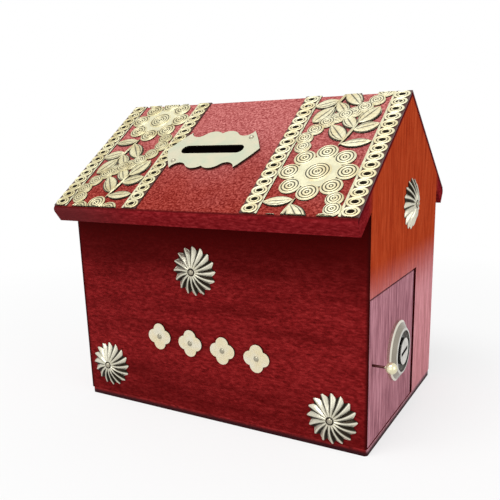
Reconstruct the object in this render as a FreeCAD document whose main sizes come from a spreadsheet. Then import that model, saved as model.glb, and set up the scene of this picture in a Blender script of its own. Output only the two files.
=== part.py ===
import FreeCAD, Part
import Sketcher
import math
import os

# House-shaped wooden money box with stamped brass trim, millimetres, +Z up.
# X runs along the ridge, the front faces -Y, the door and its lock face +X.
# The origin is the middle of the underside.

SIZES = {
    "box_length": 150.0,
    "box_depth": 100.0,
    "ridge_height": 145.0,
    "eave_reach": 65.2,
    "roof_pitch": 35.7,
    "roof_board": 7.5,
    "eave_rounding": 2.0,
    "wall_board": 6.0,
    "gable_board": 6.0,
    "base_thickness": 3.0,
    "base_corner": 1.5,
    "door_rear_edge": 15.0,
    "door_top": 65.5,
    "door_gap": 0.8,
    "door_rear_gap": 1.2,
    "door_back_gap": 0.3,
    "door_front_setback": 0.4,
    "pivot_inset": 3.0,
    "pivot_diameter": 2.0,
    "pivot_clearance": 0.06,
    "pivot_length": 9.0,
    "pivot_end_play": 0.5,
    "lock_center_across": -12.8,
    "lock_center_up": 34.2,
    "lock_flange_diameter": 27.2,
    "lock_rim_thickness": 1.2,
    "lock_bezel_height": 2.3,
    "lock_bezel_diameter": 20.0,
    "lock_recess_diameter": 18.6,
    "lock_recess_depth": 1.5,
    "lock_barrel_diameter": 16.0,
    "lock_hole_clearance": 0.1,
    "lock_barrel_reach": 17.0,
    "lock_nut_across": 22.0,
    "lock_nut_thickness": 4.0,
    "plug_diameter": 11.0,
    "plug_clearance": 0.06,
    "plug_head_diameter": 12.0,
    "plug_head_proud": 0.3,
    "keyway_length": 9.0,
    "keyway_width": 1.7,
    "keyway_depth": 6.0,
    "keyway_tilt": 9.0,
    "cam_thickness": 2.0,
    "cam_width": 11.0,
    "cam_reach": 28.0,
    "cam_square": 6.0,
    "cam_gap": 0.1,
    "cam_screw_diameter": 3.0,
    "cam_screw_length": 8.0,
    "cam_screw_head": 7.0,
    "cam_screw_head_height": 2.2,
    "keeper_depth": 9.0,
    "keeper_height": 22.0,
    "keeper_gap": 1.0,
    "knob_front_inset": 4.5,
    "knob_up": 38.2,
    "knob_ball_diameter": 4.8,
    "knob_stand_off": 7.8,
    "knob_stem_diameter": 1.1,
    "knob_stem_depth": 3.0,
    "band_width": 49.0,
    "band_border": 7.8,
    "band_sheet": 0.5,
    "band_eave_margin": 2.0,
    "band_repeat": 75.0,
    "band_left_flower": 67.1,
    "band_right_flower": 27.0,
    "flower_ring_radius": 12.3,
    "flower_disc_radius": 4.6,
    "flower_core_radius": 9.6,
    "roundel_radius": 3.7,
    "eye_inset": 3.7,
    "eye_pitch": 5.1,
    "eye_length": 2.8,
    "eye_width": 1.9,
    "band_pin_diameter": 0.8,
    "band_pin_head": 1.6,
    "band_pin_length": 5.0,
    "plate_across": -6.0,
    "plate_up": 41.5,
    "plate_length": 49.0,
    "plate_height": 26.4,
    "plate_sheet": 0.8,
    "slot_length": 33.0,
    "slot_width": 5.7,
    "slot_wood_length": 35.0,
    "slot_wood_width": 5.6,
    "plate_nail_across": 17.0,
    "plate_nail_up": 8.0,
    "nail_head_diameter": 2.6,
    "nail_head_height": 0.8,
    "nail_shank_diameter": 1.0,
    "nail_length": 5.0,
    "rosette_radius": 11.3,
    "rosette_height": 3.0,
    "rosette_crown": 4.2,
    "rosette_sheet": 0.5,
    "rosette_top_across": -6.2,
    "rosette_top_up": 70.8,
    "rosette_left_inset": 14.6,
    "rosette_left_up": 18.2,
    "rosette_right_inset": 15.2,
    "rosette_right_up": 13.8,
    "gable_rosette_across": 3.0,
    "gable_rosette_up": 97.5,
    "motif_pitch": 17.5,
    "motif_first": -27.8,
    "motif_up": 37.4,
    "motif_fall": 0.95,
    "motif_lobe_radius": 3.3,
    "motif_lobe_offset": 3.1,
    "motif_sheet": 0.8,
    "base_nail_diameter": 1.6,
    "base_nail_head": 3.6,
    "base_nail_head_height": 0.8,
    "base_nail_length": 15.0,
    "base_nail_inset": 19.0,
    "nail_fit": 0.02,
}
MOTIFS = 4
PETALS = 16
PETAL_VALLEY = 0.8
FLOWER_DISCS = 8

doc = FreeCAD.newDocument("money_box")
sheet = doc.addObject("Spreadsheet::Sheet", "Sizes")
for row, (alias, number) in enumerate(SIZES.items(), start=1):
    sheet.set("A%d" % row, alias)
    sheet.set("B%d" % row, str(number))
    sheet.setAlias("B%d" % row, alias)
doc.recompute()

nodes = []


def size(alias):
    return float(sheet.get(alias))


def under_roof(across):
    """Expression for the height of the roof's underside at a distance from the ridge."""
    return ("Sizes.ridge_height - Sizes.roof_board / cos(Sizes.roof_pitch)"
            " - (%s) * tan(Sizes.roof_pitch)" % across)


HALF_LENGTH = "Sizes.box_length / 2"
HALF_DEPTH = "Sizes.box_depth / 2"
INNER_DEPTH = "Sizes.box_depth / 2 - Sizes.wall_board"
GABLE_INNER = "Sizes.box_length / 2 - Sizes.gable_board"
BASE_TOP = "Sizes.base_thickness"
DOOR_BOTTOM = "Sizes.base_thickness + Sizes.door_gap"
NOTCH_TOP = "Sizes.door_top + Sizes.door_gap"
NOTCH_REAR = "Sizes.door_rear_edge + Sizes.door_rear_gap"
PIVOT_X = "Sizes.box_length / 2 - Sizes.pivot_inset"
PIVOT_Y = "Sizes.door_rear_edge - Sizes.pivot_inset"
KNOB_Y = "-Sizes.box_depth / 2 + Sizes.knob_front_inset"
LOCK_Y = "Sizes.lock_center_across"
LOCK_Z = "Sizes.lock_center_up"
RECESS_FLOOR = ("Sizes.box_length / 2 + Sizes.lock_rim_thickness + Sizes.lock_bezel_height"
                " - Sizes.lock_recess_depth")
BARREL_END = "Sizes.box_length / 2 - Sizes.lock_barrel_reach"
CAM_FRONT = "Sizes.box_length / 2 - Sizes.lock_barrel_reach - Sizes.cam_gap"
CAM_BACK = CAM_FRONT + " - Sizes.cam_thickness"


def value(expression):
    return float(sheet.evalExpression(expression))


# Sketch helpers: every corner and circle is tied to the sheet

def new_body(label):
    body = doc.addObject("PartDesign::Body", label)
    body.Label = label
    nodes.append(body)
    return body


def new_sketch(body, name, role, offset):
    sketch = body.newObject("Sketcher::SketchObject", name)
    plane = [item for item in body.Origin.OriginFeatures if item.Role == role][0]
    sketch.AttachmentSupport = [(plane, "")]
    sketch.MapMode = "FlatFace"
    sketch.setExpression("AttachmentOffset.Base.z", offset)
    return sketch


def tie_point(sketch, geometry, position, across, up):
    for kind, expression in (("DistanceX", across), ("DistanceY", up)):
        constraint = Sketcher.Constraint(kind, -1, 1, geometry, position, value(expression))
        index = sketch.addConstraint(constraint)
        sketch.setExpression("Constraints[%d]" % index, expression)


def polygon(body, name, role, corners, offset="0"):
    sketch = new_sketch(body, name, role, offset)
    points = [FreeCAD.Vector(value(across), value(up), 0) for across, up in corners]
    count = len(points)
    for index in range(count):
        sketch.addGeometry(Part.LineSegment(points[index], points[(index + 1) % count]), False)
    for index in range(count):
        sketch.addConstraint(Sketcher.Constraint("Coincident", index, 2, (index + 1) % count, 1))
    for index, (across, up) in enumerate(corners):
        tie_point(sketch, index, 1, across, up)
    return sketch


def circle(body, name, role, across, up, radius, offset="0"):
    sketch = new_sketch(body, name, role, offset)
    center = FreeCAD.Vector(value(across), value(up), 0)
    sketch.addGeometry(Part.Circle(center, FreeCAD.Vector(0, 0, 1), value(radius)), False)
    tie_point(sketch, 0, 3, across, up)
    index = sketch.addConstraint(Sketcher.Constraint("Radius", 0, value(radius)))
    sketch.setExpression("Constraints[%d]" % index, radius)
    return sketch


def pad(body, sketch, length, symmetric=False):
    feature = body.newObject("PartDesign::Pad", "Pad")
    feature.Profile = sketch
    feature.setExpression("Length", length)
    if symmetric:
        feature.SideType = "Symmetric"
    doc.recompute()
    return feature


def pocket(body, sketch, depth=None, upward=False):
    """Cut a sketch out of its body: right through, or to a depth below or above its plane."""
    before = body.Shape.Volume
    feature = body.newObject("PartDesign::Pocket", "Pocket")
    feature.Profile = sketch
    if depth is None:
        feature.Type = "ThroughAll"
        feature.SideType = "Symmetric"
    else:
        feature.setExpression("Length", depth)
        feature.Reversed = upward
    doc.recompute()
    if body.Shape.Volume >= before:
        raise RuntimeError("%s: a pocket cuts nothing" % body.Label)
    return feature


def round_edges(body, radius, wanted):
    """Fillet the straight edges of a body whose end points pass a test."""
    base = body.Tip
    names = []
    for index, edge in enumerate(base.Shape.Edges, start=1):
        ends = [vertex.Point for vertex in edge.Vertexes]
        if len(ends) == 2 and wanted(ends[0], ends[1]):
            names.append("Edge%d" % index)
    if not names:
        raise RuntimeError("%s: no edge to round" % body.Label)
    feature = body.newObject("PartDesign::Fillet", "Fillet")
    feature.Base = (base, names)
    feature.setExpression("Radius", radius)
    doc.recompute()
    return feature


def near(first, second):
    return abs(first - second) < 0.001


def upright(first, second):
    return near(first.x, second.x) and near(first.y, second.y)


# Primitive helpers: pieces turned about an axis along X

def turn_to_x(item, start, across, up):
    item.Placement = FreeCAD.Placement(FreeCAD.Vector(), FreeCAD.Rotation(FreeCAD.Vector(0, 1, 0), 90))
    for axis, expression in zip("xyz", (start, across, up)):
        item.setExpression("Placement.Base." + axis, expression)
    return item


def cylinder_x(name, radius, start, length, across=LOCK_Y, up=LOCK_Z):
    item = doc.addObject("Part::Cylinder", name)
    item.setExpression("Radius", radius)
    item.setExpression("Height", length)
    return turn_to_x(item, start, across, up)


def cone_x(name, first, second, start, length, across=LOCK_Y, up=LOCK_Z):
    item = doc.addObject("Part::Cone", name)
    item.setExpression("Radius1", first)
    item.setExpression("Radius2", second)
    item.setExpression("Height", length)
    return turn_to_x(item, start, across, up)


def cylinder_z(name, radius, start, length, along, across):
    item = doc.addObject("Part::Cylinder", name)
    item.setExpression("Radius", radius)
    item.setExpression("Height", length)
    for axis, expression in zip("xyz", (along, across, start)):
        item.setExpression("Placement.Base." + axis, expression)
    return item


def box(name, spans):
    item = doc.addObject("Part::Box", name)
    for axis, side, (start, length) in zip("xyz", ("Length", "Width", "Height"), spans):
        item.setExpression("Placement.Base." + axis, start)
        item.setExpression(side, length)
    return item


def fuse(name, items):
    joined = doc.addObject("Part::MultiFuse", name)
    joined.Shapes = items
    return joined


def cut(name, base, tool):
    result = doc.addObject("Part::Cut", name)
    result.Base = base
    result.Tool = tool
    return result


def keep(item, label):
    item.Label = label
    nodes.append(item)
    return item


def keep_shape(label, shape, placement=None):
    item = doc.addObject("Part::Feature", label)
    item.Shape = shape
    if placement is not None:
        item.Placement = placement
    return keep(item, label)


# Wooden case

def make_base():
    body = new_body("base_board")
    corners = [("-" + HALF_LENGTH, "-" + HALF_DEPTH), (HALF_LENGTH, "-" + HALF_DEPTH),
               (HALF_LENGTH, HALF_DEPTH), ("-" + HALF_LENGTH, HALF_DEPTH)]
    pad(body, polygon(body, "base_outline", "XY_Plane", corners), BASE_TOP)
    round_edges(body, "Sizes.base_corner", upright)
    pin = circle(body, "pivot_hole", "XY_Plane", PIVOT_X, PIVOT_Y, "Sizes.pivot_diameter / 2")
    pocket(body, pin)


def cut_mitres(body, ends):
    """Cut the corners of a board away in plan, each a triangle, so that boards meet corner to corner."""
    for index, corners in enumerate(ends):
        pocket(body, polygon(body, "mitre_%d" % index, "XY_Plane", corners))


def make_wall(label, side):
    """A long wall, mitred to the gables, its top bevelled to lie under the roof board."""
    body = new_body(label)
    outer = side + "(%s)" % HALF_DEPTH
    inner = side + "(%s)" % INNER_DEPTH
    corners = [(outer, BASE_TOP), (inner, BASE_TOP),
               (inner, under_roof(INNER_DEPTH)), (outer, under_roof(HALF_DEPTH))]
    pad(body, polygon(body, label + "_profile", "YZ_Plane", corners), "Sizes.box_length", symmetric=True)
    cut_mitres(body, [[(end + "(%s)" % HALF_LENGTH, outer), (end + "(%s)" % HALF_LENGTH, inner),
                       (end + "(%s)" % GABLE_INNER, inner)] for end in ("-", "")])


def make_gable(label, end, offset, corners):
    """A gable of one outline, mitred to the long walls at its upright edges."""
    body = new_body(label)
    pad(body, polygon(body, label + "_outline", "YZ_Plane", corners, offset), "Sizes.gable_board")
    outer = end + "(%s)" % HALF_LENGTH
    inner = end + "(%s)" % GABLE_INNER
    cut_mitres(body, [[(outer, side + "(%s)" % HALF_DEPTH), (inner, side + "(%s)" % HALF_DEPTH),
                       (inner, side + "(%s)" % INNER_DEPTH)] for side in ("-", "")])
    return body


def make_gables():
    eave_corners = [(HALF_DEPTH, under_roof(HALF_DEPTH)), ("0", under_roof("0")),
                    ("-" + HALF_DEPTH, under_roof(HALF_DEPTH))]
    plain = [("-" + HALF_DEPTH, BASE_TOP), (HALF_DEPTH, BASE_TOP)] + eave_corners
    make_gable("left_gable", "-", "-(%s)" % HALF_LENGTH, plain)
    notched = [(NOTCH_REAR, BASE_TOP), (HALF_DEPTH, BASE_TOP)] + eave_corners
    notched += [("-" + HALF_DEPTH, NOTCH_TOP), (NOTCH_REAR, NOTCH_TOP)]
    body = make_gable("right_gable", "", GABLE_INNER, notched)
    pin = circle(body, "pivot_hole", "XY_Plane", PIVOT_X, PIVOT_Y, "Sizes.pivot_diameter / 2", NOTCH_TOP)
    pocket(body, pin, "Sizes.pivot_length", upward=True)


def make_roof_board(label, side):
    """A roof board with a mitred ridge and an eave cut square to the slope."""
    body = new_body(label)
    eave_up = "Sizes.ridge_height - Sizes.eave_reach * tan(Sizes.roof_pitch)"
    corners = [("0", "Sizes.ridge_height"),
               (side + "Sizes.eave_reach", eave_up),
               (side + "(Sizes.eave_reach - Sizes.roof_board * sin(Sizes.roof_pitch))",
                eave_up + " - Sizes.roof_board * cos(Sizes.roof_pitch)"),
               ("0", under_roof("0"))]
    pad(body, polygon(body, label + "_profile", "YZ_Plane", corners), "Sizes.box_length", symmetric=True)
    eave = value("Sizes.eave_reach")
    round_edges(body, "Sizes.eave_rounding",
                lambda first, second: near(abs(first.y), eave) and near(abs(second.y), eave))
    return body


def make_roof():
    """Both roof boards; the coin slot in the front one is cut plumb under its plate."""
    front = make_roof_board("front_roof_board", "-")
    make_roof_board("back_roof_board", "")
    slot_y = "-Sizes.eave_reach + Sizes.plate_up * cos(Sizes.roof_pitch)"
    half_x = "Sizes.slot_wood_length / 2"
    half_y = "Sizes.slot_wood_width / 2"
    corners = [("Sizes.plate_across - " + half_x, slot_y + " - " + half_y),
               ("Sizes.plate_across + " + half_x, slot_y + " - " + half_y),
               ("Sizes.plate_across + " + half_x, slot_y + " + " + half_y),
               ("Sizes.plate_across - " + half_x, slot_y + " + " + half_y)]
    pocket(front, polygon(front, "coin_slot", "XY_Plane", corners))


# Door, its pivots, keeper, knob and lock

def make_door():
    """The door, mitred at its free edge as the gable above it is, and rounded about its pivots."""
    body = new_body("door_panel")
    front_edge = "-(%s) + Sizes.door_front_setback" % HALF_DEPTH
    corners = [(front_edge, DOOR_BOTTOM), ("Sizes.door_rear_edge", DOOR_BOTTOM),
               ("Sizes.door_rear_edge", "Sizes.door_top"), (front_edge, "Sizes.door_top")]
    back = GABLE_INNER + " + Sizes.door_back_gap"
    outline = polygon(body, "door_outline", "YZ_Plane", corners, back)
    pad(body, outline, "Sizes.gable_board - Sizes.door_back_gap")
    mitre_depth = "(Sizes.gable_board - Sizes.door_back_gap) * Sizes.wall_board / Sizes.gable_board"
    mitre_end = front_edge + " + " + mitre_depth
    cut_mitres(body, [[(HALF_LENGTH, front_edge), (back, front_edge), (back, mitre_end)]])
    face = value(HALF_LENGTH)
    rear = value("Sizes.door_rear_edge")
    round_edges(body, "Sizes.pivot_inset",
                lambda first, second: upright(first, second) and near(first.x, face) and near(first.y, rear))
    bore = "Sizes.pivot_diameter / 2 + Sizes.pivot_clearance"
    depth = "Sizes.pivot_length + Sizes.pivot_end_play"
    lower = circle(body, "lower_bore", "XY_Plane", PIVOT_X, PIVOT_Y, bore, DOOR_BOTTOM)
    pocket(body, lower, depth, upward=True)
    upper = circle(body, "upper_bore", "XY_Plane", PIVOT_X, PIVOT_Y, bore, "Sizes.door_top")
    pocket(body, upper, depth)
    hole = "Sizes.lock_barrel_diameter / 2 + Sizes.lock_hole_clearance"
    pocket(body, circle(body, "lock_hole", "YZ_Plane", LOCK_Y, LOCK_Z, hole))
    stem = circle(body, "knob_hole", "YZ_Plane", KNOB_Y, "Sizes.knob_up",
                  "Sizes.knob_stem_diameter / 2", HALF_LENGTH)
    pocket(body, stem, "Sizes.knob_stem_depth")


def make_pivots():
    radius = "Sizes.pivot_diameter / 2"
    reach = "2 * Sizes.pivot_length + Sizes.door_gap"
    upper = cylinder_z("upper_pin", radius, "Sizes.door_top - Sizes.pivot_length", reach, PIVOT_X, PIVOT_Y)
    keep(upper, "door_pivot_top")
    reach = DOOR_BOTTOM + " + Sizes.pivot_length"
    keep(cylinder_z("lower_pin", radius, "0", reach, PIVOT_X, PIVOT_Y), "door_pivot_bottom")


def make_keeper():
    """Block on the front wall's inner face: the door shuts against it and the cam turns in behind it."""
    inner = CAM_FRONT + " + Sizes.keeper_gap"
    spans = [(inner, GABLE_INNER + " - (%s)" % inner),
             ("-(%s)" % INNER_DEPTH, "Sizes.keeper_depth"),
             ("Sizes.lock_center_up - Sizes.keeper_height / 2", "Sizes.keeper_height")]
    keep(box("keeper", spans), "keeper_block")


def make_knob():
    ball = doc.addObject("Part::Sphere", "ball")
    ball.setExpression("Radius", "Sizes.knob_ball_diameter / 2")
    turn_to_x(ball, HALF_LENGTH + " + Sizes.knob_stand_off", KNOB_Y, "Sizes.knob_up")
    stem = cylinder_x("stem", "Sizes.knob_stem_diameter / 2", HALF_LENGTH + " - Sizes.knob_stem_depth",
                      "Sizes.knob_stem_depth + Sizes.knob_stand_off", KNOB_Y, "Sizes.knob_up")
    keep(fuse("knob", [ball, stem]), "door_knob")


def make_lock_body():
    flange = "Sizes.lock_flange_diameter / 2"
    rim = cylinder_x("rim", flange, HALF_LENGTH, "Sizes.lock_rim_thickness")
    bezel = cone_x("bezel", flange, "Sizes.lock_bezel_diameter / 2",
                   HALF_LENGTH + " + Sizes.lock_rim_thickness", "Sizes.lock_bezel_height")
    barrel = cylinder_x("barrel", "Sizes.lock_barrel_diameter / 2", BARREL_END, "Sizes.lock_barrel_reach")
    recess = cylinder_x("recess", "Sizes.lock_recess_diameter / 2", RECESS_FLOOR, "Sizes.lock_recess_depth")
    bore = cylinder_x("bore", "Sizes.plug_diameter / 2 + Sizes.plug_clearance", BARREL_END,
                      "Sizes.lock_barrel_reach + Sizes.lock_rim_thickness + Sizes.lock_bezel_height")
    keep(cut("lock_case", fuse("lock_solid", [rim, bezel, barrel]), fuse("lock_space", [recess, bore])),
         "lock_body")


def make_lock_nut():
    nut = doc.addObject("Part::Prism", "hexagon")
    nut.Polygon = 6
    nut.setExpression("Circumradius", "Sizes.lock_nut_across / sqrt(3)")
    nut.setExpression("Height", "Sizes.lock_nut_thickness")
    start = GABLE_INNER + " + Sizes.door_back_gap - Sizes.lock_nut_thickness"
    turn_to_x(nut, start, LOCK_Y, LOCK_Z)
    hole = cylinder_x("nut_hole", "Sizes.lock_barrel_diameter / 2", start, "Sizes.lock_nut_thickness")
    keep(cut("nut", nut, hole), "lock_nut")


def make_lock_rotor():
    """Plug with its keyway, cam on the square tail, and the screw that holds the cam."""
    head_start = RECESS_FLOOR + " + Sizes.cam_gap"
    head_length = "Sizes.lock_recess_depth - Sizes.cam_gap + Sizes.plug_head_proud"
    head = cylinder_x("plug_head", "Sizes.plug_head_diameter / 2", head_start, head_length)
    core = cylinder_x("plug_core", "Sizes.plug_diameter / 2", CAM_FRONT, head_start + " - (%s)" % CAM_FRONT)
    tail = box("plug_tail", [(CAM_BACK, "Sizes.cam_thickness"),
                             (LOCK_Y + " - Sizes.cam_square / 2", "Sizes.cam_square"),
                             (LOCK_Z + " - Sizes.cam_square / 2", "Sizes.cam_square")])
    keyway = box("keyway", [(head_start + " + %s - Sizes.keyway_depth" % head_length, "Sizes.keyway_depth"),
                            (LOCK_Y, "Sizes.keyway_length"), (LOCK_Z, "Sizes.keyway_width")])
    tilt = FreeCAD.Rotation(FreeCAD.Vector(1, 0, 0), size("keyway_tilt"))
    corner = tilt.multVec(FreeCAD.Vector(0, -size("keyway_length") / 2, -size("keyway_width") / 2))
    keyway.Placement = FreeCAD.Placement(FreeCAD.Vector(), tilt)
    keyway.setExpression("Placement.Base.y", LOCK_Y + " + (%r)" % corner.y)
    keyway.setExpression("Placement.Base.z", LOCK_Z + " + (%r)" % corner.z)
    thread = "Sizes.cam_screw_diameter / 2"
    hole = cylinder_x("screw_hole", thread, CAM_BACK, "Sizes.cam_screw_length")
    keep(cut("plug", fuse("plug_solid", [head, core, tail]), fuse("plug_space", [keyway, hole])), "lock_plug")

    reach = "Sizes.cam_reach - Sizes.cam_width / 2"
    bar = box("cam_bar", [(CAM_BACK, "Sizes.cam_thickness"),
                          (LOCK_Y + " - Sizes.cam_width / 2", "Sizes.cam_width"),
                          (LOCK_Z + " - (%s)" % reach, reach)])
    eye = cylinder_x("cam_eye", "Sizes.cam_width / 2", CAM_BACK, "Sizes.cam_thickness")
    tip = cylinder_x("cam_tip", "Sizes.cam_width / 2", CAM_BACK, "Sizes.cam_thickness",
                     up=LOCK_Z + " - (%s)" % reach)
    square = box("cam_square", [(CAM_BACK, "Sizes.cam_thickness"),
                                (LOCK_Y + " - Sizes.cam_square / 2", "Sizes.cam_square"),
                                (LOCK_Z + " - Sizes.cam_square / 2", "Sizes.cam_square")])
    keep(cut("cam", fuse("cam_solid", [bar, eye, tip]), square), "lock_cam")

    cap = cylinder_x("screw_head", "Sizes.cam_screw_head / 2", CAM_BACK + " - Sizes.cam_screw_head_height",
                     "Sizes.cam_screw_head_height")
    shank = cylinder_x("screw_shank", thread, CAM_BACK, "Sizes.cam_screw_length")
    keep(fuse("screw", [cap, shank]), "cam_screw")


# Brass trim: sheet shapes drawn flat, then laid on their board

PITCH = math.radians(size("roof_pitch"))
SLOPE = size("eave_reach") / math.cos(PITCH)


def slope_place(lift=0.0):
    """Frame on the front slope: origin at the middle of the eave, Y up the slope, Z out of it."""
    eave_up = size("ridge_height") - size("eave_reach") * math.tan(PITCH)
    turn = FreeCAD.Rotation(FreeCAD.Vector(1, 0, 0), size("roof_pitch"))
    origin = FreeCAD.Vector(0, -size("eave_reach"), eave_up)
    return FreeCAD.Placement(origin + turn.multVec(FreeCAD.Vector(0, 0, lift)), turn)


def back_slope_place():
    """The same frame on the back slope: origin on the ridge, Y down the slope, Z out of it."""
    turn = FreeCAD.Rotation(FreeCAD.Vector(1, 0, 0), -size("roof_pitch"))
    return FreeCAD.Placement(FreeCAD.Vector(0, 0, size("ridge_height")), turn)


def front_place(across, up):
    turn = FreeCAD.Rotation(FreeCAD.Vector(1, 0, 0), 90)
    return FreeCAD.Placement(FreeCAD.Vector(across, -size("box_depth") / 2, up), turn)


def gable_place(across, up):
    turn = FreeCAD.Rotation(FreeCAD.Vector(1, 0, 0), 90)
    turn = FreeCAD.Rotation(FreeCAD.Vector(0, 0, 1), 90).multiply(turn)
    return FreeCAD.Placement(FreeCAD.Vector(size("box_length") / 2, across, up), turn)


def flat(across, up):
    return FreeCAD.Vector(across, up, 0)


def disc(across, up, radius):
    return Part.Face(Part.Wire(Part.makeCircle(radius, flat(across, up))))


def rectangle(left, low, right, high):
    corners = [flat(left, low), flat(right, low), flat(right, high), flat(left, high), flat(left, low)]
    return Part.Face(Part.makePolygon(corners))


def leaf(base, tip, width):
    """A pointed leaf between two points, its sides two arcs."""
    along = tip - base
    side = FreeCAD.Vector(-along.y, along.x, 0)
    side.normalize()
    middle = (base + tip) * 0.5
    left = Part.Arc(base, middle + side * (width / 2), tip).toShape()
    right = Part.Arc(tip, middle - side * (width / 2), base).toShape()
    return Part.Face(Part.Wire([left, right]))


# Spray of leaves over a flower, from the flower's middle: foot, tip and width of each leaf
SPRAY = [
    ((3.4, 16.0), (7.6, 33.0), 1.6),
    ((4.0, 17.0), (16.6, 18.8), 5.6),
    ((6.6, 26.3), (16.8, 30.5), 7.0),
    ((4.4, 19.6), (-4.1, 30.4), 7.6),
    ((6.2, 28.2), (0.2, 36.4), 6.4),
    ((7.4, 31.4), (13.7, 42.4), 8.6),
]
# Half of the winding chain of roundels between two flowers
CHAIN = [(-12.3, 15.8), (-13.4, 21.6), (-10.8, 27.6), (-7.0, 32.6), (-3.4, 35.6)]


def band_motifs(flower):
    """Faces of one repeat, from a flower up to the next: point-symmetric about the chain's middle."""
    repeat = size("band_repeat")
    radius = size("flower_ring_radius")
    faces = [disc(0, flower, size("flower_core_radius"))]
    for index in range(FLOWER_DISCS):
        angle = 2 * math.pi * index / FLOWER_DISCS
        across = radius * math.cos(angle)
        up = flower + radius * math.sin(angle)
        faces.append(disc(across, up, size("flower_disc_radius")))
    faces.append(disc(0, flower + repeat / 2, size("roundel_radius")))
    for across, up in CHAIN:
        faces.append(disc(across, flower + up, size("roundel_radius")))
        faces.append(disc(-across, flower + repeat - up, size("roundel_radius")))
    for foot, tip, width in SPRAY:
        faces.append(leaf(flat(foot[0], flower + foot[1]), flat(tip[0], flower + tip[1]), width))
        turned_foot = flat(-foot[0], flower + repeat - foot[1])
        turned_tip = flat(-tip[0], flower + repeat - tip[1])
        faces.append(leaf(turned_foot, turned_tip, width))
    return faces


def band_sheet(flower, low, high):
    """One slope's share of the pierced ribbon, flat, between two stations along it."""
    half = size("band_width") / 2
    inner = half - size("band_border")
    repeat = size("band_repeat")
    faces = [rectangle(-half, low, -inner, high), rectangle(inner, low, half, high)]
    start = flower
    while start > low:
        start -= repeat
    while start < high + repeat / 2:
        faces += band_motifs(start)
        start += repeat
    window = rectangle(-half, low, half, high)
    pattern = faces[0].multiFuse(faces[1:]).common(window).removeSplitter()
    solid = pattern.extrude(FreeCAD.Vector(0, 0, size("band_sheet")))
    return solid.cut(Part.makeCompound(band_eyes(low, high)))


def band_eyes(low, high):
    """Lozenge holes along both borders of the ribbon."""
    middle = size("band_width") / 2 - size("eye_inset")
    pitch = size("eye_pitch")
    across = size("eye_width") / 2
    up = size("eye_length") / 2
    holes = []
    for index in range(int(math.ceil(low / pitch)), int(high / pitch) + 1):
        center = index * pitch
        if center - up < low + across or center + up > high - across:
            continue
        for side in (-middle, middle):
            corners = [flat(side - across, center), flat(side, center - up),
                       flat(side + across, center), flat(side, center + up), flat(side - across, center)]
            hole = Part.Face(Part.makePolygon(corners))
            holes.append(hole.extrude(FreeCAD.Vector(0, 0, size("band_sheet"))))
    return holes


def make_band(label, side, flower):
    """A ribbon from the front eave over the ridge to the back eave, mitred at the ridge."""
    margin = size("band_eave_margin")
    middle = side * (size("box_length") - size("band_width")) / 2
    bend = size("band_sheet") * math.tan(PITCH)
    shift = FreeCAD.Placement(FreeCAD.Vector(middle, 0, 0), FreeCAD.Rotation())
    front = band_sheet(flower, margin, SLOPE + bend)
    front.Placement = slope_place().multiply(shift)
    back = band_sheet(flower - SLOPE, -bend, SLOPE - margin)
    back.Placement = back_slope_place().multiply(shift)
    reach = size("box_length")
    half_space = Part.makeBox(2 * reach, reach, 2 * reach, FreeCAD.Vector(-reach, -reach, 0))
    front = front.common(half_space)
    back = back.cut(half_space)
    ribbon = front.fuse(back).removeSplitter()
    keep_shape(label, ribbon.cut(plate_clearance()))


def make_nail(head, head_height, shank, length):
    """A domed nail with its head's underside on the plane Z = 0 and its shank below."""
    sphere_radius = (head * head / 4 + head_height * head_height) / (2 * head_height)
    ball = Part.makeSphere(sphere_radius, FreeCAD.Vector(0, 0, head_height - sphere_radius))
    slab = Part.makeCylinder(head, head_height)
    pin = Part.makeCylinder(shank / 2, length, FreeCAD.Vector(0, 0, -length))
    return ball.common(slab).fuse(pin).removeSplitter()


def nail_group(label, nail, places):
    copies = []
    for place in places:
        copy = nail.copy()
        copy.Placement = place
        copies.append(copy)
    keep_shape(label, Part.makeCompound(copies))


def trim_nail():
    return make_nail(size("nail_head_diameter"), size("nail_head_height"),
                     size("nail_shank_diameter"), size("nail_length"))


def lifted(place, lift):
    return place.multiply(FreeCAD.Placement(FreeCAD.Vector(0, 0, lift), FreeCAD.Rotation()))


def moved(place, across, up):
    return place.multiply(FreeCAD.Placement(FreeCAD.Vector(across, up, 0), FreeCAD.Rotation()))


def nail_hole(depth):
    return Part.makeCylinder(size("nail_shank_diameter") / 2 + size("nail_fit"), depth)


def make_band_pins():
    """Small pins through the ribbons' borders, near each eave and below the ridge."""
    pin = make_nail(size("band_pin_head"), size("band_pin_head") / 4, size("band_pin_diameter"),
                    size("band_pin_length"))
    border = (size("band_width") - size("band_border")) / 2
    middle = (size("box_length") - size("band_width")) / 2
    first = (math.ceil(size("band_eave_margin") / size("eye_pitch")) + 0.5) * size("eye_pitch")
    stations = [first, SLOPE - first]
    places = []
    for side in (-middle, middle):
        for across in (side - border, side + border):
            for station in stations:
                places.append(lifted(moved(slope_place(), across, station), size("band_sheet")))
                places.append(lifted(moved(back_slope_place(), across, station), size("band_sheet")))
    nail_group("band_pins", pin, places)


def slot_opening():
    """The slot in its plate, with round ends."""
    radius = size("slot_width") / 2
    straight = size("slot_length") / 2 - radius
    bar = rectangle(-straight, -radius, straight, radius)
    return bar.multiFuse([disc(-straight, 0, radius), disc(straight, 0, radius)]).removeSplitter()


def plate_nail_spots():
    across = size("plate_nail_across")
    up = size("plate_nail_up")
    return [(across, up), (-across, -up)]


def plate_clearance():
    """Space through a ribbon under the plate, for the slot and for the plate's nails."""
    depth = size("band_sheet")
    tools = [slot_opening().extrude(FreeCAD.Vector(0, 0, depth))]
    for across, up in plate_nail_spots():
        hole = nail_hole(depth)
        hole.translate(flat(across, up))
        tools.append(hole)
    space = Part.makeCompound(tools)
    space.Placement = moved(slope_place(), size("plate_across"), size("plate_up"))
    return space


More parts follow.
